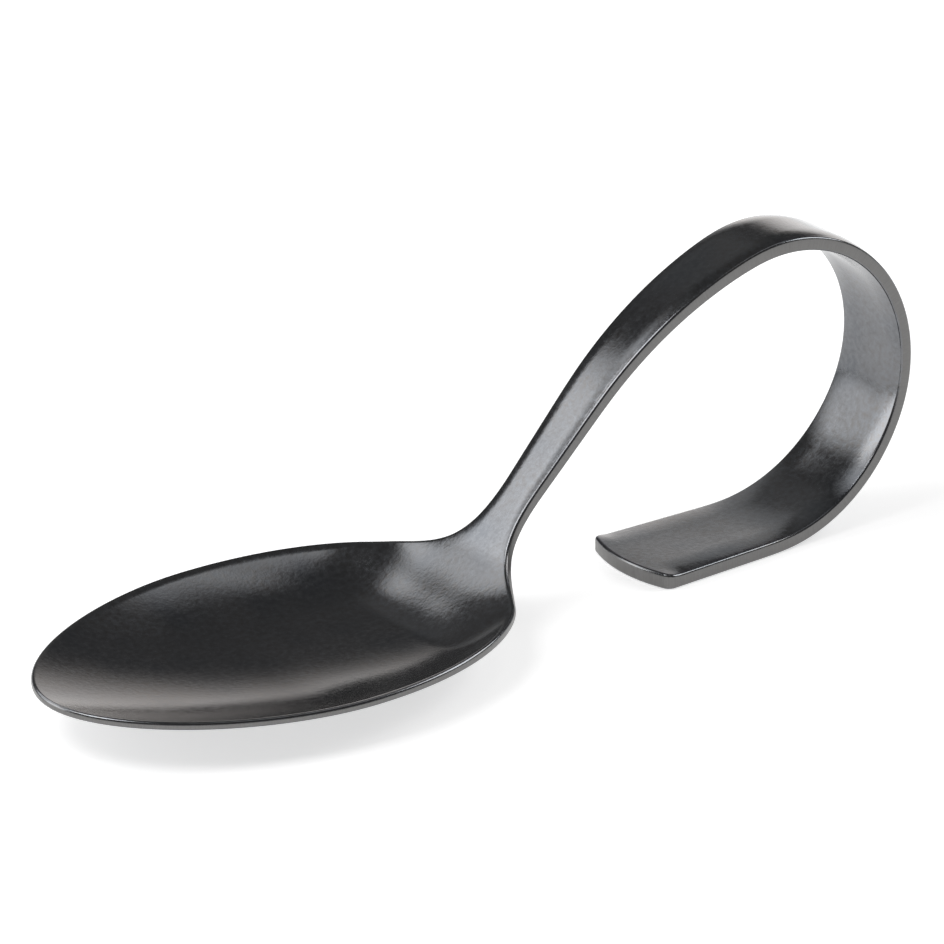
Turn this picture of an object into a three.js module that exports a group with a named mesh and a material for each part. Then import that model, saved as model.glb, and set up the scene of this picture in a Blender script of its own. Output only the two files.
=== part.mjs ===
// Gourmet spoon: one blank of sheet steel, thin at the rim, dished into a shallow bowl and bent into a handle
// that rises, loops over and comes back along the table as a foot, so that the spoon stands by itself.
// Millimetres, +Z up. X runs along the spoon with the tip of the bowl at -X, Y runs across it,
// and Z = 0 is the table under the bowl and the foot.
import * as THREE from 'three';
import { mergeVertices } from 'three/addons/utils/BufferGeometryUtils.js';

// Outline of the flat blank: lengths along it from the tip of the bowl, and full widths across it
const TIP_TO_WIDEST = 34.6;
const BOWL_WIDTH = 45.2;
const WIDEST_TO_SHOULDER = 27.3;
const SHOULDER_WIDTH = 24.1; // where the round of the bowl turns into the hollow beside the neck
const SHOULDER_ANGLE = 59; // degrees between the outline and the spoon's axis at that place
const SHOULDER_TO_NECK = 14.3;
const NECK_WIDTH = 6.3;
const FOOT_WIDTH = 16.3;
const FOOT_END_RADIUS = 20;
const FOOT_CORNER_RADIUS = 1.5;

// Fullness of the outline's curves: each tangent's length as a share of the span that its curve covers
const TIP_FULLNESS = 0.52;
const FRONT_FULLNESS = 0.44;
const REAR_FULLNESS = 0.58;
const SHOULDER_FULLNESS = 0.37;
const HOLLOW_FULLNESS = 0.59;
const NECK_FULLNESS = 0.71;

// Side view: slopes of the upper face in degrees, and the radii and lengths measured on it
const TIP_SLOPE = -2;
const HEEL_SLOPE = 2.2;
const BEND_TO_SHOULDER = 0.9; // the neck starts to bend this far ahead of the shoulder
const NECK_BEND_RADIUS = 4;
const RISE_SLOPE = 46.8;
const ARCH_RADIUS = 56;
const ARCH_SLOPE = 17.8; // where the wide arch tightens into the loop
const LOOP_RADIUS = 20.35;
const LOOP_SLOPE = -112.5; // where the loop eases towards the foot
const LOWER_RADIUS = 23.3;
const FOOT_SLOPE = -180;
const FOOT_LENGTH = 20.3;
const BEND_EASE = 6; // length over which one bend runs into the next

// Section of the sheet
const RIM_THICKNESS = 1.05;
const SHOULDER_THICKNESS = 1.35;
const NECK_THICKNESS = 1.7;
const LOOP_THICKNESS = 2.25;
const FOOT_THICKNESS = 2.15;
const EDGE_ROUND = 0.4;
const CROWN_RADIUS = 90; // the handle's outer face swells as high as an arc of this radius across its width
const CROWN_POWER = 4; // its middle is flatter than that arc, and its edges roll off more
const INNER_RADIUS = 120; // the handle's inner face is slightly hollow across

// Bowl
const BOWL_DEPTH = 4.6; // from the rim to the bottom, inside
const DEEPEST_TO_WIDEST = 2.6; // the deepest place lies this far ahead of the widest
const FLOOR_RISE = 0.15; // the floor climbs by this share of the depth from there to the end of the hollow
const FLOOR_EASE = 0.145; // share of that length over which the climb sets in
const HEEL_TO_SHOULDER = 10.9; // the steep heel starts this far ahead of the shoulder
const SHOULDER_TO_HOLLOW_END = 2.6; // the hollow runs out behind the shoulder
const BOTTOM_EXTRA = 0.73; // more steel at the bottom of the bowl than at its rim

// Fineness of the surface: rows along each curve of the outline, and points across the sheet
const FRONT_ROWS = 18;
const REAR_ROWS = 12;
const HOLLOW_ROWS = 14;
const HANDLE_ROW_STEP = 2.4;
const CORNER_ROWS = 4;
const END_ROWS = 6;
const FACE_STEPS = 10;
const ROUND_STEPS = 3;
const BEND_STEP = 0.25;
const LEVELLING_PASSES = 5;
const MERGE_WITHIN = 0.001;

// Stations along the blank that follow from these sizes
const { clamp, degToRad, lerp, smoothstep } = THREE.MathUtils;
const DEEPEST_AT = TIP_TO_WIDEST - DEEPEST_TO_WIDEST;
const SHOULDER_AT = TIP_TO_WIDEST + WIDEST_TO_SHOULDER;
const BEND_AT = SHOULDER_AT - BEND_TO_SHOULDER;
const HEEL_AT = SHOULDER_AT - HEEL_TO_SHOULDER;
const HOLLOW_END_AT = SHOULDER_AT + SHOULDER_TO_HOLLOW_END;
const NECK_AT = SHOULDER_AT + SHOULDER_TO_NECK;

// Slope of the sheet along its length before easing: straight runs and bends that turn evenly
function bendPlan(riseLength) {
  const stations = [0];
  const slopes = [degToRad(TIP_SLOPE)];
  const run = (length, slope) => {
    stations.push(stations.at(-1) + length);
    slopes.push(degToRad(slope));
    return stations.at(-1);
  };
  const bend = (radius, slope) => run(radius * Math.abs(degToRad(slope) - slopes.at(-1)), slope);

  run(BEND_AT, HEEL_SLOPE);
  bend(NECK_BEND_RADIUS, RISE_SLOPE);
  run(riseLength, RISE_SLOPE);
  const loopAt = bend(ARCH_RADIUS, ARCH_SLOPE);
  const lowerAt = bend(LOOP_RADIUS, LOOP_SLOPE);
  const footAt = bend(LOWER_RADIUS, FOOT_SLOPE);
  const length = run(FOOT_LENGTH, FOOT_SLOPE);
  return { stations, slopes, loopAt, lowerAt, footAt, length };
}

// The bent line of the upper face: a function from a length along the blank to its place and slope
function bentLine({ stations, slopes, length }) {
  // Running total of the slope, so that its mean over any stretch is a difference of two totals
  const total = (s) => {
    let sum = Math.min(s, 0) * slopes[0] + Math.max(s - length, 0) * slopes.at(-1);
    for (let i = 1; i < stations.length; i++) {
      const [from, to] = [stations[i - 1], stations[i]];
      const end = Math.min(s, to);
      if (end <= from) continue;
      const slopeAtEnd = lerp(slopes[i - 1], slopes[i], (end - from) / (to - from));
      sum += (end - from) * (slopes[i - 1] + slopeAtEnd) / 2;
    }
    return sum;
  };
  const easedSlope = (s) => (total(s + BEND_EASE / 2) - total(s - BEND_EASE / 2)) / BEND_EASE;

  const count = Math.ceil(length / BEND_STEP);
  const step = length / count;
  const line = [{ x: 0, z: 0 }];
  for (let i = 0; i < count; i++) {
    const slope = easedSlope((i + 0.5) * step);
    line.push({ x: line[i].x + step * Math.cos(slope), z: line[i].z + step * Math.sin(slope) });
  }
  return (s) => {
    const i = Math.min(Math.floor(s / step), count - 1);
    const share = s / step - i;
    const x = lerp(line[i].x, line[i + 1].x, share);
    const z = lerp(line[i].z, line[i + 1].z, share);
    return { x, z, slope: easedSlope(s) };
  };
}

// Depth of the hollow on the spoon's axis: round from the tip to the bottom, then a floor that climbs slowly
// and a steep heel in front of the neck
function hollowDepth(s) {
  if (s < DEEPEST_AT) {
    const ahead = (DEEPEST_AT - s) / (DEEPEST_AT - EDGE_ROUND);
    return BOWL_DEPTH * (1 - ahead ** 2);
  }
  const behind = clamp((s - DEEPEST_AT) / (HOLLOW_END_AT - DEEPEST_AT), 0, 1);
  const climb = FLOOR_RISE * (Math.hypot(behind, FLOOR_EASE) - FLOOR_EASE);
  const upHeel = clamp((s - HEEL_AT) / (HOLLOW_END_AT - HEEL_AT), 0, 1);
  return BOWL_DEPTH * (1 - climb) * (1 + Math.cos(Math.PI * upHeel)) / 2;
}

const bottomExtra = (s) => BOTTOM_EXTRA * hollowDepth(s) / BOWL_DEPTH;

// Thickness of the sheet at its edge, in straight lines between the places where it was measured
function edgeThickness(s, { loopAt, length }) {
  const measured = [
    [TIP_TO_WIDEST, RIM_THICKNESS],
    [SHOULDER_AT, SHOULDER_THICKNESS],
    [NECK_AT, NECK_THICKNESS],
    [loopAt, LOOP_THICKNESS],
    [length, FOOT_THICKNESS],
  ];
  const next = measured.findIndex(([at]) => s <= at);
  if (next === -1) return FOOT_THICKNESS;
  if (next === 0) return RIM_THICKNESS;
  const [[from, thin], [to, thick]] = measured.slice(next - 1, next + 1);
  return lerp(thin, thick, (s - from) / (to - from));
}

// The rise is as long as it takes to bring the foot down level with the bottom of the bowl
function levelRise() {
  let rise = 0;
  for (let pass = 0; pass < LEVELLING_PASSES; pass++) {
    const plan = bendPlan(rise);
    const line = bentLine(plan);
    const lowest = (from, to, depth) => {
      let level = Infinity;
      for (let s = from; s <= to; s += BEND_STEP) {
        const { z, slope } = line(s);
        level = Math.min(level, z - depth(s) * Math.cos(slope));
      }
      return level;
    };
    const bowl = lowest(0, SHOULDER_AT, (s) => edgeThickness(s, plan) + hollowDepth(s) + bottomExtra(s));
    const foot = lowest(plan.lowerAt, plan.length, () => 0);
    rise += (bowl - foot) / Math.sin(degToRad(RISE_SLOPE));
  }
  return rise;
}

// One side of the blank's outline, from the tip of the bowl round to the middle of the foot's end
function blankOutline(length) {
  const point = (along, across) => new THREE.Vector2(along, across);
  const tip = point(0, 0);
  const widest = point(TIP_TO_WIDEST, BOWL_WIDTH / 2);
  const shoulder = point(SHOULDER_AT, SHOULDER_WIDTH / 2);
  const neck = point(NECK_AT, NECK_WIDTH / 2);
  const flare = (FOOT_WIDTH - NECK_WIDTH) / 2 / (length - NECK_AT);
  const onHandleEdge = (along) => point(along, neck.y + flare * (along - neck.x));
  const lean = 1 / Math.tan(degToRad(SHOULDER_ANGLE));
  const onShoulderTangent = (across) => point(shoulder.x + (shoulder.y - across) * lean, across);

  const front = new THREE.CubicBezierCurve(
    tip,
    point(0, TIP_FULLNESS * widest.y),
    point(widest.x - FRONT_FULLNESS * TIP_TO_WIDEST, widest.y),
    widest,
  );
  const rear = new THREE.CubicBezierCurve(
    widest,
    point(widest.x + REAR_FULLNESS * WIDEST_TO_SHOULDER, widest.y),
    onShoulderTangent(lerp(shoulder.y, widest.y, SHOULDER_FULLNESS)),
    shoulder,
  );
  const hollow = new THREE.CubicBezierCurve(
    shoulder,
    onShoulderTangent(lerp(shoulder.y, neck.y, HOLLOW_FULLNESS)),
    onHandleEdge(neck.x - NECK_FULLNESS * SHOULDER_TO_NECK),
    neck,
  );

  // The corner's centre lies one corner radius inside both the handle's edge and the bowed end
  const endCentre = length - FOOT_END_RADIUS;
  const inset = FOOT_CORNER_RADIUS * Math.hypot(1, flare);
  const start = neck.y - flare * neck.x - inset;
  const reach = FOOT_END_RADIUS - FOOT_CORNER_RADIUS;
  const squared = 1 + flare ** 2;
  const half = endCentre - flare * start;
  const rest = endCentre ** 2 + start ** 2 - reach ** 2;
  const along = (half + Math.sqrt(half ** 2 - squared * rest)) / squared;
  const corner = point(along, start + flare * along);
  const edgeNormal = Math.PI / 2 + Math.atan(flare);
  const endNormal = Math.atan2(corner.y, corner.x - endCentre);

  const edge = new THREE.LineCurve(neck, onHandleEdge(corner.x + FOOT_CORNER_RADIUS * Math.cos(edgeNormal)));
  const round = new THREE.EllipseCurve(
    corner.x, corner.y, FOOT_CORNER_RADIUS, FOOT_CORNER_RADIUS, edgeNormal, endNormal, true,
  );
  const end = new THREE.EllipseCurve(endCentre, 0, FOOT_END_RADIUS, FOOT_END_RADIUS, endNormal, 0, true);
  return { front, rear, hollow, edge, round, end };
}

// Rows across the blank: a point of the outline each, with the direction from there into the sheet
function blankRows(length) {
  const outline = blankOutline(length);
  const counts = {
    front: FRONT_ROWS,
    rear: REAR_ROWS,
    hollow: HOLLOW_ROWS,
    edge: Math.ceil(outline.edge.getLength() / HANDLE_ROW_STEP),
    round: CORNER_ROWS,
    end: END_ROWS,
  };
  const rows = [];
  for (const [name, curve] of Object.entries(outline)) {
    for (let i = 0; i < counts[name]; i++) {
      const tangent = curve.getTangent(i / counts[name]);
      rows.push({ at: curve.getPoint(i / counts[name]), inward: new THREE.Vector2(tangent.y, -tangent.x) });
    }
  }
  rows[0] = { at: new THREE.Vector2(0, 0), inward: new THREE.Vector2(1, 0) };
  rows.push({ at: new THREE.Vector2(length, 0), inward: new THREE.Vector2(-1, 0) });
  return rows;
}

// A closed ring round the sheet at one row: points of the flat blank as length, width and height,
// with height 0 on the upper face's edge
function sheetRing({ at, inward }, plan) {
  const thickness = edgeThickness(at.x, plan);
  const round = Math.min(EDGE_ROUND, thickness / 2);
  const s = at.x + round * inward.x;
  const halfWidth = at.y + round * inward.y;

  const side = [];
  for (let i = 0; i <= ROUND_STEPS; i++) {
    const angle = i / ROUND_STEPS * Math.PI / 2;
    side.push({ inset: round * (1 - Math.sin(angle)), drop: round * (1 - Math.cos(angle)) });
  }
  side.push(...side.map(({ inset, drop }) => ({ inset, drop: thickness - drop })).reverse());
  const edge = (sign) => side.map(({ inset, drop }) => (
    { s: at.x + inset * inward.x, y: sign * (at.y + inset * inward.y), h: -drop }
  ));

  // The handle's section grows out of the bowl's shoulder, and the side that lies on the table ends flat
  const grown = smoothstep(s, SHOULDER_AT, NECK_AT);
  const offTable = 1 - smoothstep(s, plan.lowerAt, plan.footAt);
  const crown = grown * offTable * halfWidth ** 2 / (2 * CROWN_RADIUS);
  const innerHollow = grown * halfWidth ** 2 / (2 * INNER_RADIUS);
  const depth = hollowDepth(s);
  const face = (height) => {
    const points = [];
    for (let i = 1; i < FACE_STEPS; i++) {
      const share = Math.cos(Math.PI * i / FACE_STEPS);
      points.push({ s, y: share * halfWidth, h: height(Math.abs(share)) });
    }
    return points;
  };
  const upper = face((share) => crown * (1 - share ** CROWN_POWER) - depth * (1 - share ** 2));
  const under = face((share) => (innerHollow - depth - bottomExtra(s)) * (1 - share ** 2) - thickness);

  return [...edge(1), ...under, ...edge(-1).reverse(), ...upper.reverse()];
}

// The bent sheet: rings of the flat blank carried onto the bent line and joined row to row
function spoonGeometry() {
  const plan = bendPlan(levelRise());
  const line = bentLine(plan);
  const rings = blankRows(plan.length).map((row) => sheetRing(row, plan));

  const positions = [];
  for (const { s, y, h } of rings.flat()) {
    const { x, z, slope } = line(s);
    positions.push(x - h * Math.sin(slope), y, z + h * Math.cos(slope));
  }
  const size = rings[0].length;
  const indices = [];
  for (let row = 0; row + 1 < rings.length; row++) {
    for (let i = 0; i < size; i++) {
      const [a, b] = [row * size + i, row * size + (i + 1) % size];
      indices.push(a, a + size, b, b, a + size, b + size);
    }
  }
  const geometry = new THREE.BufferGeometry();
  geometry.setAttribute('position', new THREE.Float32BufferAttribute(positions, 3));
  geometry.setIndex(indices);
  return closeEnds(geometry);
}

// The first and last rings are folded flat: their doubled points are merged and empty triangles dropped
function closeEnds(geometry) {
  const merged = mergeVertices(geometry, MERGE_WITHIN);
  const corners = merged.index.array;
  const kept = [];
  for (let i = 0; i < corners.length; i += 3) {
    const [a, b, c] = corners.slice(i, i + 3);
    if (a !== b && b !== c && c !== a) kept.push(a, b, c);
  }
  merged.setIndex(kept);
  merged.computeVertexNormals();
  return merged;
}

// Dark steel with a worn satin finish
const steel = new THREE.MeshStandardMaterial({ color: 0x56575a, roughness: 0.35, metalness: 1 });

const geometry = spoonGeometry();
geometry.computeBoundingBox();
const middle = geometry.boundingBox.getCenter(new THREE.Vector3());
geometry.translate(-middle.x, -middle.y, -geometry.boundingBox.min.z);

const spoon = new THREE.Mesh(geometry, steel);
spoon.name = 'spoon';

const gourmetSpoon = new THREE.Group();
gourmetSpoon.add(spoon);

export default gourmetSpoon;
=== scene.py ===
# %% [markdown]
# # A gourmet spoon that stands by itself
# The whole spoon is one strip of dark steel: a shallow bowl in front, a handle that climbs, loops over and
# comes back along the table as a foot. A maker cuts a flat blank, presses the bowl and bends the handle, and
# this lesson does the same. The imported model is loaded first, because every size here has to agree with it.

# %% Load the frame
import math

import bmesh
import bpy
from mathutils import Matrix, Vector
from mathutils.geometry import interpolate_bezier


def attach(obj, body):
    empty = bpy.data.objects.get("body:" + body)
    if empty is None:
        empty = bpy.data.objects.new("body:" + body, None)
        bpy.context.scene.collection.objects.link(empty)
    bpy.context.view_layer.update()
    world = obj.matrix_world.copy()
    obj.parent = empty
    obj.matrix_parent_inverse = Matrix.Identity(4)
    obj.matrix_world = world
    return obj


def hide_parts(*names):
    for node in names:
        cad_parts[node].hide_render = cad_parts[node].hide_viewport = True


MM = 0.001
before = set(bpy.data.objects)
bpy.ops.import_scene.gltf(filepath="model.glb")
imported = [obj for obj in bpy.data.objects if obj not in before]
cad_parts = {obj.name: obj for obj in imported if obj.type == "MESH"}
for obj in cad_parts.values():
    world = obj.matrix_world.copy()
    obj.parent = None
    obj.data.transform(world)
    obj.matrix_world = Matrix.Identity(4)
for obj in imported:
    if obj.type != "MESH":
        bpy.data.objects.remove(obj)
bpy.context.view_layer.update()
print("nodes of the frame:", list(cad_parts))

# %% [markdown]
# ## The camera
# The spoon was looked at from in front of its bowl and a little above the table, with a long lens from less
# than a metre away. The lens is given as a focal length in picture widths, which is the same at every size.

# %% Camera
AZIMUTH = math.radians(-36.401)
ELEVATION = math.radians(23.61)
CAMERA_DISTANCE = 825 * MM
LOOK_AT = Vector((-1.611, 0, 20.499)) * MM
FOCAL_WIDTHS = 6.9337
SENSOR_WIDTH = 36
NEAREST_SEEN = 0.01
FARTHEST_SEEN = 20

back = Vector((
    math.sin(AZIMUTH) * math.cos(ELEVATION),
    -math.cos(AZIMUTH) * math.cos(ELEVATION),
    math.sin(ELEVATION),
))
camera = bpy.data.objects.new("camera", bpy.data.cameras.new("camera"))
camera.data.sensor_width = SENSOR_WIDTH
camera.data.lens = FOCAL_WIDTHS * SENSOR_WIDTH
camera.data.clip_start = NEAREST_SEEN
camera.data.clip_end = FARTHEST_SEEN
camera.location = LOOK_AT + back * CAMERA_DISTANCE
camera.rotation_euler = (-back).to_track_quat("-Z", "Y").to_euler()
bpy.context.scene.collection.objects.link(camera)
bpy.context.scene.camera = camera
print("lens in mm:", round(camera.data.lens, 1))

# %% [markdown]
# ## The plan of the bends
# Seen from the side, the strip is a chain of straight runs and bends of one radius each. The lengths are
# measured along the flat blank from the tip of the bowl. Where a bend starts follows from the lengths
# before it, so only radii, slopes and straight runs are written down here. The rise is just long enough to
# bring the foot down level with the bottom of the bowl.

# %% Bends
TIP_SLOPE = math.radians(-2)
HEEL_SLOPE = math.radians(2.2)
RISE_SLOPE = math.radians(46.8)
ARCH_SLOPE = math.radians(17.8)
LOOP_SLOPE = math.radians(-112.5)
FOOT_SLOPE = math.radians(-180)
NECK_BEND_RADIUS = 4 * MM
ARCH_RADIUS = 56 * MM
LOOP_RADIUS = 20.35 * MM
LOWER_RADIUS = 23.3 * MM
RISE_LENGTH = 25.205 * MM
FOOT_LENGTH = 20.3 * MM
BEND_EASE = 6 * MM

TIP_TO_WIDEST = 34.6 * MM
WIDEST_TO_SHOULDER = 27.3 * MM
BEND_TO_SHOULDER = 0.9 * MM
SHOULDER_AT = TIP_TO_WIDEST + WIDEST_TO_SHOULDER
BEND_AT = SHOULDER_AT - BEND_TO_SHOULDER

bends = {}


def plan_bend(name, start, slope, next_slope, radius=None, length=None):
    """Notes one bend and returns the place along the blank where it ends."""
    length = length or radius * abs(next_slope - slope)
    bends[name] = (start, length, next_slope - slope)
    return start + length


plan_bend("Bowl", 0, TIP_SLOPE, HEEL_SLOPE, length=BEND_AT)
RISE_AT = plan_bend("Neck", BEND_AT, HEEL_SLOPE, RISE_SLOPE, NECK_BEND_RADIUS)
LOOP_AT = plan_bend("Arch", RISE_AT + RISE_LENGTH, RISE_SLOPE, ARCH_SLOPE, ARCH_RADIUS)
LOWER_AT = plan_bend("Loop", LOOP_AT, ARCH_SLOPE, LOOP_SLOPE, LOOP_RADIUS)
FOOT_AT = plan_bend("Lower loop", LOWER_AT, LOOP_SLOPE, FOOT_SLOPE, LOWER_RADIUS)
BLANK_LENGTH = FOOT_AT + FOOT_LENGTH
print("blank length in mm:", round(BLANK_LENGTH / MM, 2))

# %% [markdown]
# ## The outline of the blank
# The flat blank is as wide as a table spoon in front, narrows to a thin neck and widens again towards the
# foot, whose end is bowed and has small round corners. Three Bezier curves draw the bowl, the shoulder and
# the hollow beside the neck. A straight edge and two arcs finish the handle. One side is enough, because the
# other is its mirror image. Each fullness says how far a curve's handle reaches, as a share of its room.

# %% Outline
BOWL_WIDTH = 45.2 * MM
SHOULDER_WIDTH = 24.1 * MM
SHOULDER_LEAN = 1 / math.tan(math.radians(59))
SHOULDER_TO_NECK = 14.3 * MM
NECK_WIDTH = 6.3 * MM
FOOT_WIDTH = 16.3 * MM
FOOT_END_RADIUS = 20 * MM
FOOT_CORNER_RADIUS = 1.5 * MM
TIP_FULLNESS = 0.52
FRONT_FULLNESS = 0.44
REAR_FULLNESS = 0.58
SHOULDER_FULLNESS = 0.37
HOLLOW_FULLNESS = 0.59
NECK_FULLNESS = 0.71
NECK_AT = SHOULDER_AT + SHOULDER_TO_NECK
FLARE = (FOOT_WIDTH - NECK_WIDTH) / 2 / (BLANK_LENGTH - NECK_AT)

tip = Vector((0, 0))
widest = Vector((TIP_TO_WIDEST, BOWL_WIDTH / 2))
shoulder = Vector((SHOULDER_AT, SHOULDER_WIDTH / 2))
neck = Vector((NECK_AT, NECK_WIDTH / 2))


def on_handle_edge(along):
    """A point of the straight edge between the neck and the foot, or of its line."""
    return Vector((along, neck.y + FLARE * (along - neck.x)))


def on_shoulder_line(across):
    """A point of the line that the outline touches at the shoulder."""
    return Vector((shoulder.x + (shoulder.y - across) * SHOULDER_LEAN, across))


def between(first, last, share):
    """A number or a point that is this share of the way from first to last."""
    return first + (last - first) * share


front_curve = (
    tip,
    Vector((0, TIP_FULLNESS * widest.y)),
    widest - Vector((FRONT_FULLNESS * TIP_TO_WIDEST, 0)),
    widest,
)
rear_curve = (
    widest,
    widest + Vector((REAR_FULLNESS * WIDEST_TO_SHOULDER, 0)),
    on_shoulder_line(between(shoulder.y, widest.y, SHOULDER_FULLNESS)),
    shoulder,
)
hollow_curve = (
    shoulder,
    on_shoulder_line(between(shoulder.y, neck.y, HOLLOW_FULLNESS)),
    on_handle_edge(neck.x - NECK_FULLNESS * SHOULDER_TO_NECK),
    neck,
)
print("flare of each handle edge in degrees:", round(math.degrees(math.atan(FLARE)), 2))

# %% [markdown]
# The corner of the foot touches both the straight edge and the bowed end. Its centre therefore lies one
# corner radius inside each of them, which is where a line meets a circle.

# %% Corner of the foot
end_centre = BLANK_LENGTH - FOOT_END_RADIUS
line_start = neck.y - FLARE * neck.x - FOOT_CORNER_RADIUS * math.hypot(1, FLARE)
reach = FOOT_END_RADIUS - FOOT_CORNER_RADIUS
half_sum = end_centre - FLARE * line_start
rest = end_centre**2 + line_start**2 - reach**2
corner_along = (half_sum + math.sqrt(half_sum**2 - (1 + FLARE**2) * rest)) / (1 + FLARE**2)
corner = Vector((corner_along, line_start + FLARE * corner_along))
edge_normal = math.pi / 2 + math.atan(FLARE)
end_normal = math.atan2(corner.y, corner.x - end_centre)
edge_end = on_handle_edge(corner.x + FOOT_CORNER_RADIUS * math.cos(edge_normal))
print("straight edge in mm:", round((edge_end - neck).length / MM, 1))

# %% [markdown]
# The curves become points now. The bowl gets the closest ones, because its rim is a wide curve that is seen
# against white, and the straight edge needs a steady step, because it will be bent round the loop.


# %% Points of the outline
def arc_points(centre, radius, start, end, rows):
    """Points of an arc, without its last one."""
    angles = [between(start, end, i / rows) for i in range(rows)]
    return [centre + radius * Vector((math.cos(a), math.sin(a))) for a in angles]


def bezier_points(curve, rows):
    """Points of a Bezier curve, without its last one."""
    return interpolate_bezier(*curve, rows + 1)[:-1]


FRONT_ROWS = 84
REAR_ROWS = 56
HOLLOW_ROWS = 60
EDGE_ROW_STEP = 0.6 * MM
CORNER_ROWS = 14
END_ROWS = 26

edge_rows = math.ceil((edge_end - neck).length / EDGE_ROW_STEP)
outline = [
    *bezier_points(front_curve, FRONT_ROWS),
    *bezier_points(rear_curve, REAR_ROWS),
    *bezier_points(hollow_curve, HOLLOW_ROWS),
    *[between(neck, edge_end, i / edge_rows) for i in range(edge_rows)],
    *arc_points(corner, FOOT_CORNER_RADIUS, edge_normal, end_normal, CORNER_ROWS),
    *arc_points(Vector((end_centre, 0)), FOOT_END_RADIUS, end_normal, 0, END_ROWS),
    Vector((BLANK_LENGTH, 0)),
]
print("points on one side of the outline:", len(outline))

# %% [markdown]
# ## The flat blank
# The sheet is rolled thin at the rim of the bowl and thicker along the handle, and its cut edges are
# rounded off. Each outline point gives one closed ring round the sheet: a rounded edge, the underside, the
# other edge and the upper face. Every point also keeps a few values for later: how far across its face it
# lies, how wide that face is, how much it belongs to the underside, how much of a cut edge it is, and its
# place on the flat blank.

# %% Rings round the sheet
RIM_THICKNESS = 1.05 * MM
SHOULDER_THICKNESS = 1.35 * MM
NECK_THICKNESS = 1.7 * MM
LOOP_THICKNESS = 2.25 * MM
FOOT_THICKNESS = 2.15 * MM
EDGE_ROUND = 0.4 * MM
FACE_STEPS = 40
ROUND_STEPS = 5


def edge_thickness(along):
    """Thickness of the sheet at its edge, in straight lines from station to station."""
    stations = [(0, RIM_THICKNESS), (TIP_TO_WIDEST, RIM_THICKNESS), (SHOULDER_AT, SHOULDER_THICKNESS)]
    stations += [(NECK_AT, NECK_THICKNESS), (LOOP_AT, LOOP_THICKNESS), (BLANK_LENGTH, FOOT_THICKNESS)]
    for (start, thin), (end, thick) in zip(stations, stations[1:]):
        if along <= end:
            return between(thin, thick, (along - start) / (end - start))
    return FOOT_THICKNESS


def edge_profile(thickness):
    """Inset, drop and share of cut edge down the rounded side of the sheet."""
    radius = min(EDGE_ROUND, thickness / 2)
    upper = []
    for i in range(ROUND_STEPS + 1):
        angle = i / ROUND_STEPS * math.pi / 2
        upper.append((radius * (1 - math.sin(angle)), radius * (1 - math.cos(angle)), i / ROUND_STEPS))
    lower = [(inset, thickness - drop, cut) for inset, drop, cut in reversed(upper)]
    return upper + lower


def sheet_ring(point, inward):
    """One ring: (place on the flat blank, share across, half width, underside, cut edge) for each point."""
    thickness = edge_thickness(point.x)
    profile = edge_profile(thickness)
    inner = point + profile[0][0] * inward

    def edge(side):
        ring = []
        for inset, drop, cut in profile:
            place = point + inset * inward
            ring.append(((place.x, side * place.y, -drop), side, inner.y, drop / thickness, cut))
        return ring

    def face(height, underside):
        shares = [1 - 2 * i / FACE_STEPS for i in range(1, FACE_STEPS)]
        return [((inner.x, share * inner.y, height), share, inner.y, underside, 0) for share in shares]

    return [*edge(1), *face(-thickness, 1), *reversed(edge(-1)), *reversed(face(0, 0))]


inward = [Vector((1, 0))]
for before, after in zip(outline, outline[2:]):
    along_edge = (after - before).normalized()
    inward.append(Vector((along_edge.y, -along_edge.x)))
inward.append(Vector((-1, 0)))
rings = [sheet_ring(point, normal) for point, normal in zip(outline, inward)]
print("rings:", len(rings), "of", len(rings[0]), "points")

# %% [markdown]
# Quads join each ring to the next. The values that the points keep become attributes, which Geometry Nodes
# and the finish can read by name. The outline starts and ends on the middle line, so the first and the last
# ring are folded flat, and their doubled points are merged to close the sheet.

# %% Mesh of the flat blank
SAME_POINT = 0.001 * MM
NO_LENGTH = 0.0001 * MM

points = [point for ring in rings for point in ring]
size = len(rings[0])
quads = []
for row in range(len(rings) - 1):
    for i in range(size):
        a = row * size + i
        b = row * size + (i + 1) % size
        quads.append((a, a + size, b + size, b))

blank_mesh = bpy.data.meshes.new("spoon")
blank_mesh.from_pydata([place for place, *_ in points], [], quads)
place_attribute = blank_mesh.attributes.new("blank", "FLOAT_VECTOR", "POINT")
place_attribute.data.foreach_set("vector", [value for place, *_ in points for value in place])
for column, name in enumerate(("share", "half_width", "underside", "cut_edge"), start=1):
    attribute = blank_mesh.attributes.new(name, "FLOAT", "POINT")
    attribute.data.foreach_set("value", [point[column] for point in points])

sheet = bmesh.new()
sheet.from_mesh(blank_mesh)
bmesh.ops.remove_doubles(sheet, verts=sheet.verts, dist=SAME_POINT)
bmesh.ops.dissolve_degenerate(sheet, edges=sheet.edges, dist=NO_LENGTH)
sheet.to_mesh(blank_mesh)
sheet.free()
spoon = bpy.data.objects.new("spoon_dressed", blank_mesh)
bpy.context.scene.collection.objects.link(spoon)
print("flat blank:", len(blank_mesh.vertices), "points,", len(blank_mesh.polygons), "faces")

# %% [markdown]
# ## A helper for node trees
# Pressing and bending follow rules, so Geometry Nodes do them, with every size as a named input. A tree of
# more than a hundred nodes is easier to read as arithmetic than as a list of links. This small helper adds a
# node, feeds its inputs with numbers or with what other nodes give out, and sets it down to the right of the
# last one.

# %% Node helper
COLUMN_WIDTH = 190
ROW_HEIGHT = 240
COLUMNS = 9


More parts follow.
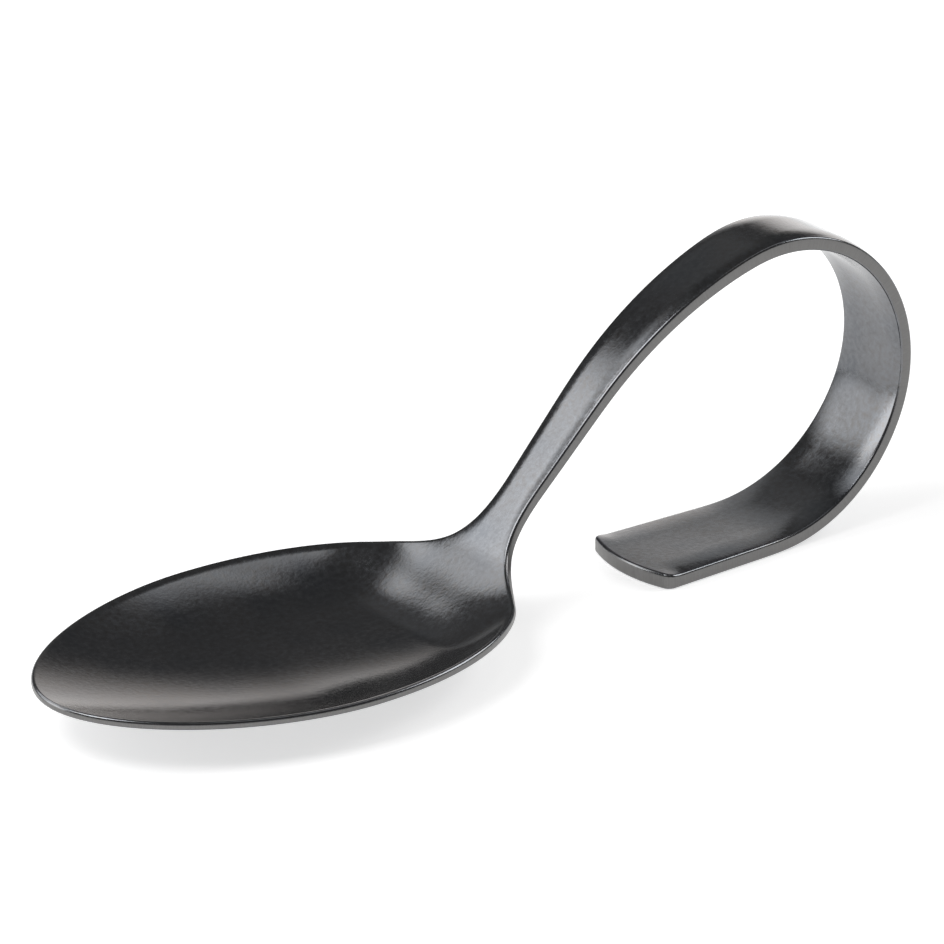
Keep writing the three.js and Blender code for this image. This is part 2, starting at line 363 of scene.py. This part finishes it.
class Tree:
    """A node tree that grows node by node, from left to right in rows."""

    def __init__(self, tree):
        self.tree = tree

    def feed(self, socket, value):
        if isinstance(value, bpy.types.NodeSocket):
            self.tree.links.new(value, socket)
        else:
            socket.default_value = value

    def add(self, kind, *values, **settings):
        """Adds a node and feeds its open inputs in order; None leaves an input as it is."""
        count = len(self.tree.nodes)
        node = self.tree.nodes.new(kind)
        node.location = (count % COLUMNS * COLUMN_WIDTH, -(count // COLUMNS) * ROW_HEIGHT)
        for name, value in settings.items():
            setattr(node, name, value)
        open_inputs = [socket for socket in node.inputs if socket.enabled]
        for socket, value in zip(open_inputs, values):
            if value is not None:
                self.feed(socket, value)
        return node

    def out(self, kind, *values, **settings):
        """Adds a node and returns its first open output."""
        node = self.add(kind, *values, **settings)
        return next(socket for socket in node.outputs if socket.enabled)

    def math(self, operation, *values, clamp=False):
        return self.out("ShaderNodeMath", *values, operation=operation, use_clamp=clamp)

    def vector(self, operation, *values):
        return self.out("ShaderNodeVectorMath", *values, operation=operation)

    def scale(self, vector, factor):
        node = self.add("ShaderNodeVectorMath", vector, operation="SCALE")
        self.feed(node.inputs["Scale"], factor)
        return node.outputs["Vector"]

    def dot(self, vector, other):
        return self.add("ShaderNodeVectorMath", vector, other, operation="DOT_PRODUCT").outputs["Value"]

    def combine(self, x, y, z):
        return self.out("ShaderNodeCombineXYZ", x, y, z)

    def smooth(self, value, start, end, first=0.0, last=1.0):
        """The first level before start, the last one after end and an S-shaped step between them."""
        ranges = (start, end, first, last)
        return self.out("ShaderNodeMapRange", value, *ranges, interpolation_type="SMOOTHSTEP")


def new_group(name, inputs, outputs):
    """An empty geometry tree with named inputs and outputs, and what its input node gives out."""
    group = bpy.data.node_groups.new(name, "GeometryNodeTree")
    for label, kind in inputs:
        group.interface.new_socket(label, in_out="INPUT", socket_type=kind)
    for label, kind in outputs:
        group.interface.new_socket(label, in_out="OUTPUT", socket_type=kind)
    tree = Tree(group)
    given = tree.add("NodeGroupInput").outputs
    return tree, given


NUMBER = "NodeSocketFloat"
print("node helper ready")

# %% [markdown]
# ## A bend that starts and ends softly
# A sheet never changes from straight to round at one point: the curvature runs in over a few millimetres.
# The plain slope of a bend is a ramp along the blank. Taking its mean over a short stretch softens both
# ends, and a mean is the difference of two running totals. One small group gives the running total of the
# ramp, and a second one the softened turn.

# %% Groups for one bend
inputs = [(name, NUMBER) for name in ("At", "Start", "Length")]
ramp_total, given = new_group("Ramp total", inputs, [("Total", NUMBER)])
past_start = ramp_total.math("SUBTRACT", given["At"], given["Start"])
done = ramp_total.math("DIVIDE", past_start, given["Length"], clamp=True)
half_length = ramp_total.math("MULTIPLY", given["Length"], 0.5)
inside = ramp_total.math("MULTIPLY", ramp_total.math("MULTIPLY", done, done), half_length)
past_end = ramp_total.math("MAXIMUM", ramp_total.math("SUBTRACT", past_start, given["Length"]), 0.0)
ramp_total.add("NodeGroupOutput", ramp_total.math("ADD", inside, past_end))

inputs = [(name, NUMBER) for name in ("Along", "Start", "Length", "Angle", "Ease")]
eased_turn, given = new_group("Eased turn", inputs, [("Turn", NUMBER)])
half_ease = eased_turn.math("MULTIPLY", given["Ease"], 0.5)
totals = []
for operation in ("ADD", "SUBTRACT"):
    at = eased_turn.math(operation, given["Along"], half_ease)
    node = eased_turn.add("GeometryNodeGroup", node_tree=ramp_total.tree)
    for socket, value in zip(node.inputs, (at, given["Start"], given["Length"])):
        eased_turn.feed(socket, value)
    totals.append(node.outputs[0])
share_turned = eased_turn.math("DIVIDE", eased_turn.math("SUBTRACT", *totals), given["Ease"])
eased_turn.add("NodeGroupOutput", eased_turn.math("MULTIPLY", share_turned, given["Angle"]))
print("bend groups:", len(ramp_total.tree.nodes), "and", len(eased_turn.tree.nodes), "nodes")

# %% [markdown]
# ## Press and bend
# The main tree takes the flat blank. First it presses it. The bowl sinks below the rim, deepest a little
# ahead of its widest place, and its rear half is fuller and ends in a short, steep heel. The handle gets a
# slight crown on its outer face, a slight hollow on its inner face and softly rolled edges. These fade where
# the foot lies on the table and before its end. Moving points by hand would do it too, but as inputs of a
# tree all these sizes stay open to change.

# %% Sizes of the press
BOWL_DEPTH = 4.6 * MM
DEEPEST_TO_WIDEST = 2.6 * MM
HEEL_TO_SHOULDER = 10.1 * MM
SHOULDER_TO_HOLLOW_END = 2.6 * MM
FLOOR_RISE = 0.15
FLOOR_EASE = 0.145
BOTTOM_EXTRA = 0.73 * MM
CROWN_RADIUS = 90 * MM
CROWN_POWER = 4.0
INNER_RADIUS = 120 * MM
DISH_POWER = 2.0
REAR_POWER = 3.0
ROLL_FROM = 0.5
ROLL_DEPTH = 0.04
ROLL_FADE = 4.0 * MM
ROLL_LEFT_OFF = 1.2 * MM
HOLLOW_FADE = 15.0 * MM

sizes = {
    "Blank length": BLANK_LENGTH,
    "Bowl depth": BOWL_DEPTH,
    "Deepest at": TIP_TO_WIDEST - DEEPEST_TO_WIDEST,
    "Hollow start": EDGE_ROUND,
    "Hollow end": SHOULDER_AT + SHOULDER_TO_HOLLOW_END,
    "Heel at": SHOULDER_AT - HEEL_TO_SHOULDER,
    "Floor rise": FLOOR_RISE,
    "Floor ease": FLOOR_EASE,
    "Bottom extra": BOTTOM_EXTRA,
    "Crown radius": CROWN_RADIUS,
    "Crown power": CROWN_POWER,
    "Inner radius": INNER_RADIUS,
    "Dish power": DISH_POWER,
    "Rear power": REAR_POWER,
    "Roll from": ROLL_FROM,
    "Roll depth": ROLL_DEPTH,
    "Roll fade from": BLANK_LENGTH - ROLL_FADE,
    "Roll fade to": BLANK_LENGTH - ROLL_LEFT_OFF,
    "Hollow fade from": BLANK_LENGTH - HOLLOW_FADE,
    "Crown start": SHOULDER_AT,
    "Crown end": NECK_AT,
    "Flat from": LOWER_AT,
    "Flat to": FOOT_AT,
    "First slope": TIP_SLOPE,
    "Ease": BEND_EASE,
}
for name, (start, length, angle) in bends.items():
    sizes[name + " bend start"] = start
    sizes[name + " bend length"] = length
    sizes[name + " bend angle"] = angle
print("named sizes of the press and the bends:", len(sizes))

# %% [markdown]
# The depth of the bowl along its middle line is a parabola in front. Behind the deepest place the floor
# climbs a little and then swings up the heel like half a wave. Across, the dish is a parabola in front too,
# and turns into a flatter floor with steeper walls towards the heel. The underside sinks a little more than
# the upper face, so the bottom of the bowl is thicker than its rim.

# %% Tree: the bowl
inputs = [("Blank", "NodeSocketGeometry"), ("Finish", "NodeSocketMaterial")]
inputs += [(name, NUMBER) for name in sizes]
press, given = new_group("Press and bend", inputs, [("Spoon", "NodeSocketGeometry")])


def stored(name):
    """What the blank keeps under this name at each point."""
    return press.out("GeometryNodeInputNamedAttribute", name)


def part_way(value, start, end):
    """0 at start, 1 at end and a straight line between them."""
    length = press.math("SUBTRACT", end, start)
    return press.math("DIVIDE", press.math("SUBTRACT", value, start), length, clamp=True)


def one_minus(value):
    """What is left of 1."""
    return press.math("SUBTRACT", 1.0, value)


def times(*values):
    """All these values multiplied."""
    product = values[0]
    for value in values[1:]:
        product = press.math("MULTIPLY", product, value)
    return product


along, across, height = press.add("ShaderNodeSeparateXYZ", press.out("GeometryNodeInputPosition")).outputs
share = stored("share")
off_middle = press.math("ABSOLUTE", share)
underside = stored("underside")

ahead = part_way(along, given["Deepest at"], given["Hollow start"])
front_depth = one_minus(times(ahead, ahead))
behind = part_way(along, given["Deepest at"], given["Hollow end"])
ease = given["Floor ease"]
eased = press.math("SQRT", press.math("MULTIPLY_ADD", behind, behind, times(ease, ease)))
climb = times(press.math("SUBTRACT", eased, ease), given["Floor rise"])
up_heel = part_way(along, given["Heel at"], given["Hollow end"])
heel = press.math("MULTIPLY_ADD", press.math("COSINE", times(up_heel, math.pi)), 0.5, 0.5)
depth_share = times(front_depth, one_minus(climb), heel)
to_heel = press.smooth(along, given["Deepest at"], given["Heel at"])
fullness = press.out("ShaderNodeMix", to_heel, given["Dish power"], given["Rear power"])
dish = one_minus(press.math("POWER", off_middle, fullness))
deepest = press.math("MULTIPLY_ADD", underside, given["Bottom extra"], given["Bowl depth"])
sunk = times(deepest, depth_share, dish)
print("bowl:", len(press.tree.nodes), "nodes")

# %% [markdown]
# A crown, a hollow and a roll are all small lifts of a face that depend on how far across it a point lies.
# Each is grown along the neck and faded where the real sheet is flat. The points of a cut edge lie between
# the two faces, so they get a mix of both lifts, and no lip stands up along the edge.

# %% Tree: the handle
half_width = stored("half_width")
half_square = times(half_width, half_width, 0.5)
grown = press.smooth(along, given["Crown start"], given["Crown end"])
off_table = press.smooth(along, given["Flat from"], given["Flat to"], 1.0, 0.0)

crown = press.math("DIVIDE", half_square, given["Crown radius"])
flatter_edge = one_minus(press.math("POWER", off_middle, given["Crown power"]))
crown = times(crown, grown, off_table, flatter_edge)

inner_hollow = press.math("DIVIDE", half_square, given["Inner radius"])
before_foot_end = press.smooth(along, given["Hollow fade from"], given["Roll fade to"], 1.0, 0.0)
inner_hollow = times(inner_hollow, grown, one_minus(times(share, share)), before_foot_end)

to_edge = part_way(off_middle, given["Roll from"], 1.0)
before_end = press.smooth(along, given["Roll fade from"], given["Roll fade to"], 1.0, 0.0)
inner_roll = times(to_edge, to_edge, given["Roll depth"], half_width, grown, before_end)
outer_roll = times(inner_roll, off_table)

outer_lift = press.math("SUBTRACT", crown, outer_roll)
inner_lift = press.math("ADD", inner_hollow, inner_roll)
lifted = press.math("ADD", height, press.out("ShaderNodeMix", underside, outer_lift, inner_lift))
pressed = press.math("SUBTRACT", lifted, sunk)
print("bowl and handle:", len(press.tree.nodes), "nodes")

# %% [markdown]
# Now the bends. A straight line as long as the blank is cut into short steps, each step is turned by the
# slopes of the plan, and the steps are added up, as one would walk the side view with a compass.

# %% Tree: the bent line
BEND_STEPS = 900

line_end = press.combine(given["Blank length"], 0.0, 0.0)
straight = press.out("GeometryNodeCurvePrimitiveLine", None, line_end)
stepped = press.out("GeometryNodeResampleCurve", straight, None, BEND_STEPS + 1, mode="COUNT")
step = press.math("DIVIDE", given["Blank length"], float(BEND_STEPS))
step_start = press.add("ShaderNodeSeparateXYZ", press.out("GeometryNodeInputPosition")).outputs[0]
step_middle = press.math("MULTIPLY_ADD", step, 0.5, step_start)
slope = given["First slope"]
for name in bends:
    turn = press.add("GeometryNodeGroup", node_tree=eased_turn.tree)
    measures = [given[f"{name} bend {measure}"] for measure in ("start", "length", "angle")]
    for socket, value in zip(turn.inputs, (step_middle, *measures, given["Ease"])):
        press.feed(socket, value)
    slope = press.math("ADD", slope, turn.outputs[0])
direction = press.combine(press.math("COSINE", slope), 0.0, press.math("SINE", slope))
stride = press.scale(direction, step)
walked = press.add("GeometryNodeAccumulateField", stride, data_type="FLOAT_VECTOR").outputs["Trailing"]
bent_line = press.out("GeometryNodeSetPosition", stepped, None, walked)
print("bends on the line:", len(bends), "with", BEND_STEPS, "steps")

# %% [markdown]
# Every point of the blank moves to the same length along the bent line, keeping its width and its height
# above it. Then the spoon is set down on the table in the middle of the frame.

# %% Tree: the sheet on the line
sampled = press.add("GeometryNodeSampleCurve", mode="LENGTH", use_all_curves=True)
press.feed(sampled.inputs["Curves"], bent_line)
press.feed(sampled.inputs["Length"], along)
upright = press.vector("CROSS_PRODUCT", sampled.outputs["Tangent"], (0.0, 1.0, 0.0))
lift = press.scale(upright, pressed)
aside = press.combine(0.0, across, 0.0)
place = press.vector("ADD", press.vector("ADD", sampled.outputs["Position"], lift), aside)
bent = press.out("GeometryNodeSetPosition", given["Blank"], None, place)

box = press.add("GeometryNodeBoundBox", bent).outputs
middle = press.vector("MULTIPLY", press.vector("ADD", box["Min"], box["Max"]), (0.5, 0.5, 0.0))
floor_level = press.vector("MULTIPLY", box["Min"], (0.0, 0.0, 1.0))
down = press.scale(press.vector("ADD", middle, floor_level), -1.0)
standing = press.out("GeometryNodeSetPosition", bent, None, None, down)
whole = press.out("GeometryNodeRealizeInstances", standing)
finished = press.out("GeometryNodeSetMaterial", whole, None, given["Finish"])
press.add("NodeGroupOutput", finished)
print("press and bend:", len(press.tree.nodes), "nodes")

# %% [markdown]
# ## The finish
# The steel is dark all over, as if tumbled: glossy enough to mirror the room, but clouded and mottled, a
# little lighter and duller in patches, cooler here and warmer there. A painted picture could carry that, but
# noise needs no file and is fine at any distance. All patterns read the place on the flat blank, so they
# follow the sheet round its bends.

# %% Patterns of the steel
CLOUDS_PER_METRE = 95.0
MOTTLE_PER_METRE = 1300.0
GRAIN_PER_METRE = 2600.0
MOTTLE_SHARE = 0.7
CLOUD_SHARE = 0.3
GRINDING_PER_METRE = (14000.0, 400.0, 400.0)

steel = bpy.data.materials.new("dark_tumbled_steel")
steel.use_nodes = True
steel.node_tree.nodes.clear()
finish = Tree(steel.node_tree)


def noise(vector, scale, detail, roughness=0.5, distortion=0.0):
    """Noise between 0 and 1 with this many patches to the metre."""
    node = finish.add("ShaderNodeTexNoise")
    finish.feed(node.inputs["Vector"], vector)
    finish.feed(node.inputs["Scale"], scale)
    finish.feed(node.inputs["Detail"], detail)
    finish.feed(node.inputs["Roughness"], roughness)
    finish.feed(node.inputs["Distortion"], distortion)
    return node.outputs["Fac"]


place = finish.add("ShaderNodeAttribute", attribute_name="blank").outputs["Vector"]
cut_edge = finish.add("ShaderNodeAttribute", attribute_name="cut_edge").outputs["Fac"]
clouds = noise(place, CLOUDS_PER_METRE, detail=2.0)
mottle = noise(place, MOTTLE_PER_METRE, detail=5.0, roughness=0.62, distortion=0.3)
grain = noise(place, GRAIN_PER_METRE, detail=2.0)
patchy = finish.math("MULTIPLY_ADD", mottle, MOTTLE_SHARE, finish.math("MULTIPLY", clouds, CLOUD_SHARE))
grinding = noise(finish.vector("MULTIPLY", place, GRINDING_PER_METRE), 1.0, detail=2.0, roughness=0.6)
print("patterns:", len(steel.node_tree.nodes), "nodes")

# %% [markdown]
# Each pattern only uses the middle of its range, because noise rarely reaches 0 or 1. The cut edges are
# duller than the faces and show faint grinding lines across the sheet, so colour and roughness both change
# over on the rounded edge. A bump of a hundredth of a millimetre breaks up the mirror image.

# %% Dark tumbled steel
COOL_STEEL = (0.139, 0.146, 0.158, 1)
WARM_STEEL = (0.159, 0.152, 0.148, 1)
WORN_STEEL = (0.186, 0.193, 0.205, 1)
EDGE_DARK = (0.155, 0.153, 0.151, 1)
EDGE_LIGHT = (0.185, 0.183, 0.18, 1)
TINT_RANGE = (0.35, 0.65)
WEAR_RANGE = (0.38, 0.62)
GLOSS_RANGE = (0.36, 0.64)
GRINDING_RANGE = (0.3, 0.7)
EDGE_RANGE = (0.55, 0.95)
GLOSSY = 0.1
DULL = 0.2
EDGE_DULL = 0.32
GRAIN_SHARE = 0.4
BUMP_DEPTH = 0.01 * MM


def spread(value, used, low=0.0, high=1.0):
    """Carries the used range of a pattern to a range of the finish, clamped at both ends."""
    return finish.out("ShaderNodeMapRange", value, *used, low, high)


def blend_colour(share, first, second):
    return finish.out("ShaderNodeMix", share, first, second, data_type="RGBA")


tint = blend_colour(spread(clouds, TINT_RANGE), COOL_STEEL, WARM_STEEL)
face_colour = blend_colour(spread(patchy, WEAR_RANGE), tint, WORN_STEEL)
face_roughness = spread(patchy, GLOSS_RANGE, GLOSSY, DULL)
edge_colour = blend_colour(spread(grinding, GRINDING_RANGE), EDGE_DARK, EDGE_LIGHT)
on_edge = spread(cut_edge, EDGE_RANGE)

bump = finish.add("ShaderNodeBump")
finish.feed(bump.inputs["Strength"], 1.0)
finish.feed(bump.inputs["Distance"], BUMP_DEPTH)
finish.feed(bump.inputs["Height"], finish.math("MULTIPLY_ADD", grain, GRAIN_SHARE, mottle))

surface = finish.add("ShaderNodeBsdfPrincipled")
finish.feed(surface.inputs["Metallic"], 1.0)
finish.feed(surface.inputs["Base Color"], blend_colour(on_edge, face_colour, edge_colour))
finish.feed(surface.inputs["Roughness"], finish.out("ShaderNodeMix", on_edge, face_roughness, EDGE_DULL))
finish.feed(surface.inputs["Normal"], bump.outputs["Normal"])
finish.add("ShaderNodeOutputMaterial", surface.outputs["BSDF"])
print("steel finish:", len(steel.node_tree.nodes), "nodes")

# %% [markdown]
# ## Make the spoon
# The modifier gets its sizes by each socket's identifier. The evaluated result becomes a plain mesh, which
# is what an export needs, and the values that only the press used are dropped.

# %% Evaluate the tree
maker = spoon.modifiers.new("press_and_bend", "NODES")
maker.node_group = press.tree
for item in press.tree.interface.items_tree:
    if item.in_out == "INPUT" and item.name in sizes:
        maker[item.identifier] = sizes[item.name]
    if item.in_out == "INPUT" and item.name == "Finish":
        maker[item.identifier] = steel

graph = bpy.context.evaluated_depsgraph_get()
made = bpy.data.meshes.new_from_object(spoon.evaluated_get(graph))
spoon.modifiers.remove(maker)
spoon.data = made
bpy.data.meshes.remove(blank_mesh)
made.name = "spoon_dressed"
for name in ("share", "half_width", "underside"):
    made.attributes.remove(made.attributes[name])
for polygon in made.polygons:
    polygon.use_smooth = True

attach(spoon, "root")
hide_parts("spoon")
low = [min(v.co[i] for v in made.vertices) / MM for i in range(3)]
high = [max(v.co[i] for v in made.vertices) / MM for i in range(3)]
print("spoon:", len(made.polygons), "faces, box in mm:", [round(b - a, 2) for a, b in zip(low, high)])

# %% [markdown]
# ## The table
# The spoon stands on a plain pale table that reaches far past the picture. A pale surface under soft light
# comes out grey, and more light would also fall on the spoon. So the table glows a little, but only for the
# camera and for what is mirrored in the steel, and the shadow of the spoon still shows on it.

# %% Table
TABLE_SIZE = 8.0
TABLE_COLOUR = (0.8, 0.8, 0.8, 1)
TABLE_GLOW = 0.6
WHITE = (1, 1, 1, 1)

half = TABLE_SIZE / 2
corners = [(x * half, y * half, 0) for x, y in ((-1, -1), (1, -1), (1, 1), (-1, 1))]
table_mesh = bpy.data.meshes.new("table")
table_mesh.from_pydata(corners, [], [(0, 1, 2, 3)])
table = bpy.data.objects.new("table", table_mesh)
bpy.context.scene.collection.objects.link(table)

paper = bpy.data.materials.new("pale_table")
paper.use_nodes = True
paper.node_tree.nodes.clear()
cover = Tree(paper.node_tree)
rays = cover.add("ShaderNodeLightPath").outputs
seen = cover.math("MAXIMUM", rays["Is Camera Ray"], rays["Is Glossy Ray"])
seen = cover.math("MAXIMUM", seen, rays["Is Transmission Ray"])
matt = cover.out("ShaderNodeBsdfDiffuse", TABLE_COLOUR)
glow = cover.out("ShaderNodeEmission", WHITE, cover.math("MULTIPLY", seen, TABLE_GLOW))
cover.add("ShaderNodeOutputMaterial", cover.out("ShaderNodeAddShader", matt, glow))
table_mesh.materials.append(paper)
print("table in m:", TABLE_SIZE)

# %% [markdown]
# ## The room
# Dark metal is seen by what it mirrors, so the walls of the studio matter as much as its lamps. They are
# dim, glow a little near the table and carry soft round patches of light, as from white cards. A wide patch
# on the left shows inside the loop and at the neck, two high ones along the rising handle. A row of small
# patches, nearly overhead, makes a curved strip, which is the pale band under the far rim of the bowl. The
# low patch behind the spoon is slightly warm and shows in the near wall of the bowl. More lamps could do
# the same, but patches on the walls are quicker to place and to render.


# %% Room
def towards(bearing, elevation):
    """Direction from the spoon: the bearing in degrees turns from +Y towards +X."""
    turn, rise = math.radians(bearing), math.radians(elevation)
    return Vector((math.sin(turn) * math.cos(rise), math.cos(turn) * math.cos(rise), math.sin(rise)))


ROOM_DIM = 0.12
ROOM_GLOW = 0.35
GLOW_FULL_TO = 0.04
GLOW_GONE_AT = 0.3
WARM_WHITE = (1, 0.92, 0.86, 1)
STRIP_PLACES = ((131, 79.5), (101, 73.5), (83, 67), (72, 59), (66, 53))
STRIP_LEVEL = 0.76
STRIP_END = (170, 81.5)
STRIP_END_LEVEL = 0.5
STRIP_INNER = 1
STRIP_OUTER = 9

world = bpy.data.worlds.new("studio")
world.use_nodes = True
world.node_tree.nodes.clear()
room = Tree(world.node_tree)
look = room.add("ShaderNodeTexCoord").outputs["Generated"]
rise = room.add("ShaderNodeSeparateXYZ", look).outputs["Z"]


def soft_patch(bearing, elevation, inner, outer, level):
    """A round patch of light on the walls, from its full level inside to nothing outside, in degrees."""
    away = room.math("ARCCOSINE", room.dot(look, towards(bearing, elevation)))
    return room.smooth(away, math.radians(inner), math.radians(outer), level, 0.0)


patches = [
    soft_patch(bearing=-50, elevation=21.5, inner=11, outer=28, level=1.45),
    soft_patch(bearing=-40, elevation=49, inner=5, outer=14, level=0.95),
    soft_patch(bearing=-26, elevation=50, inner=5, outer=11, level=0.35),
    soft_patch(bearing=14, elevation=41, inner=6, outer=20, level=0.09),
    soft_patch(*STRIP_END, STRIP_INNER, STRIP_OUTER, STRIP_END_LEVEL),
]
for strip_place in STRIP_PLACES:
    patches.append(soft_patch(*strip_place, STRIP_INNER, STRIP_OUTER, STRIP_LEVEL))

strength = room.math("ADD", room.smooth(rise, GLOW_FULL_TO, GLOW_GONE_AT, ROOM_GLOW, 0.0), ROOM_DIM)
for patch in patches:
    strength = room.math("ADD", strength, patch)
walls = room.out("ShaderNodeBackground", WHITE, strength)
low_patch = soft_patch(bearing=45, elevation=5, inner=8, outer=24, level=0.72)
low_wall = room.out("ShaderNodeBackground", WARM_WHITE, low_patch)
room.add("ShaderNodeOutputWorld", room.out("ShaderNodeAddShader", walls, low_wall))
bpy.context.scene.world = world
print("patches of light on the walls:", len(patches) + 1)

# %% [markdown]
# ## The lamps
# Two high lamps at the sides light table and spoon, where one overhead would draw a bright line along the
# rim. A long panel stands close behind the spoon on the left, and the rising handle, the heel of the bowl
# and the inside of the loop mirror it. A low dim card on the right does the same for the upper handle and
# the foot.

# %% Lamps
ORIGIN = (0, 0, 0)
HIGH_LEFT = (-0.58, 0.155, 1.04)
HIGH_RIGHT = (0.913, -0.245, 0.739)
HIGH_SIZE = 0.6
LEFT_MIDDLE = Vector((-0.14, 0, 0.085))
RIGHT_MIDDLE = Vector((0.13, 0, 0.0425))
BEHIND_SPOON = Vector((0, 0.09, 0))
WATTS_PER_LEVEL = 4


def soft_light(name, place, aim, width, height, level):
    """A flat soft light whose surface has this brightness, where 1 is white."""
    lamp = bpy.data.lights.new(name, "AREA")
    lamp.shape = "RECTANGLE"
    lamp.size = width
    lamp.size_y = height
    lamp.energy = level * width * height * WATTS_PER_LEVEL
    light = bpy.data.objects.new(name, lamp)
    light.location = place
    light.rotation_euler = (Vector(aim) - Vector(place)).to_track_quat("-Z", "Y").to_euler()
    bpy.context.scene.collection.objects.link(light)
    print("lamp", name, "in watts:", round(lamp.energy, 3))
    return light


soft_light("high_left", HIGH_LEFT, ORIGIN, HIGH_SIZE, HIGH_SIZE, level=3.2)
soft_light("high_right", HIGH_RIGHT, ORIGIN, HIGH_SIZE, HIGH_SIZE, level=3.0)
left = soft_light("left", LEFT_MIDDLE + BEHIND_SPOON, LEFT_MIDDLE, width=0.32, height=0.11, level=1.35)
right = soft_light("right", RIGHT_MIDDLE + BEHIND_SPOON, RIGHT_MIDDLE, width=0.15, height=0.085, level=0.32)

# %% [markdown]
# A mirrored panel ends as sharply as the panel itself, but on the real spoon these reflections fade. Sheets
# of cloth in front of a panel would soften its edges. Here the lamp's own nodes dim it, by the distance of
# each place from a line, and the line may slant.


# %% Soft edges of the panels
def soft_edge(shade, through, inwards, dark, full):
    """A step from dark to full, at these distances from a line that runs through a place of the panel."""
    place = shade.add("ShaderNodeNewGeometry").outputs["Position"]
    distance = shade.dot(shade.vector("SUBTRACT", place, through), Vector(inwards).normalized())
    return shade.smooth(distance, dark, full)


def dim_edges(light, *edges):
    """Dims a panel towards each of these edges."""
    light.data.use_nodes = True
    shade = Tree(light.data.node_tree)
    level = 1.0
    for edge in edges:
        level = shade.math("MULTIPLY", level, soft_edge(shade, **edge))
    shade.feed(light.data.node_tree.nodes["Emission"].inputs["Strength"], level)
    print("soft edges of", light.name, "panel:", len(edges))


dim_edges(
    left,
    dict(through=(-0.018, 0, 0.0862), inwards=(-0.636, 0, 0.772), dark=-0.006, full=0.006),
    dict(through=ORIGIN, inwards=(-1, 0, 0), dark=0.005, full=0.022),
    dict(through=(0, 0, 0.14), inwards=(0, 0, -1), dark=0, full=0.045),
)
dim_edges(right, dict(through=(0.07, 0, 0.06), inwards=(0.6, 0, -0.8), dark=-0.02, full=0.02))

# %% [markdown]
# ## Last lines
# Colours are shown plainly.

# %% Finish
bpy.context.scene.view_settings.view_transform = "Standard"
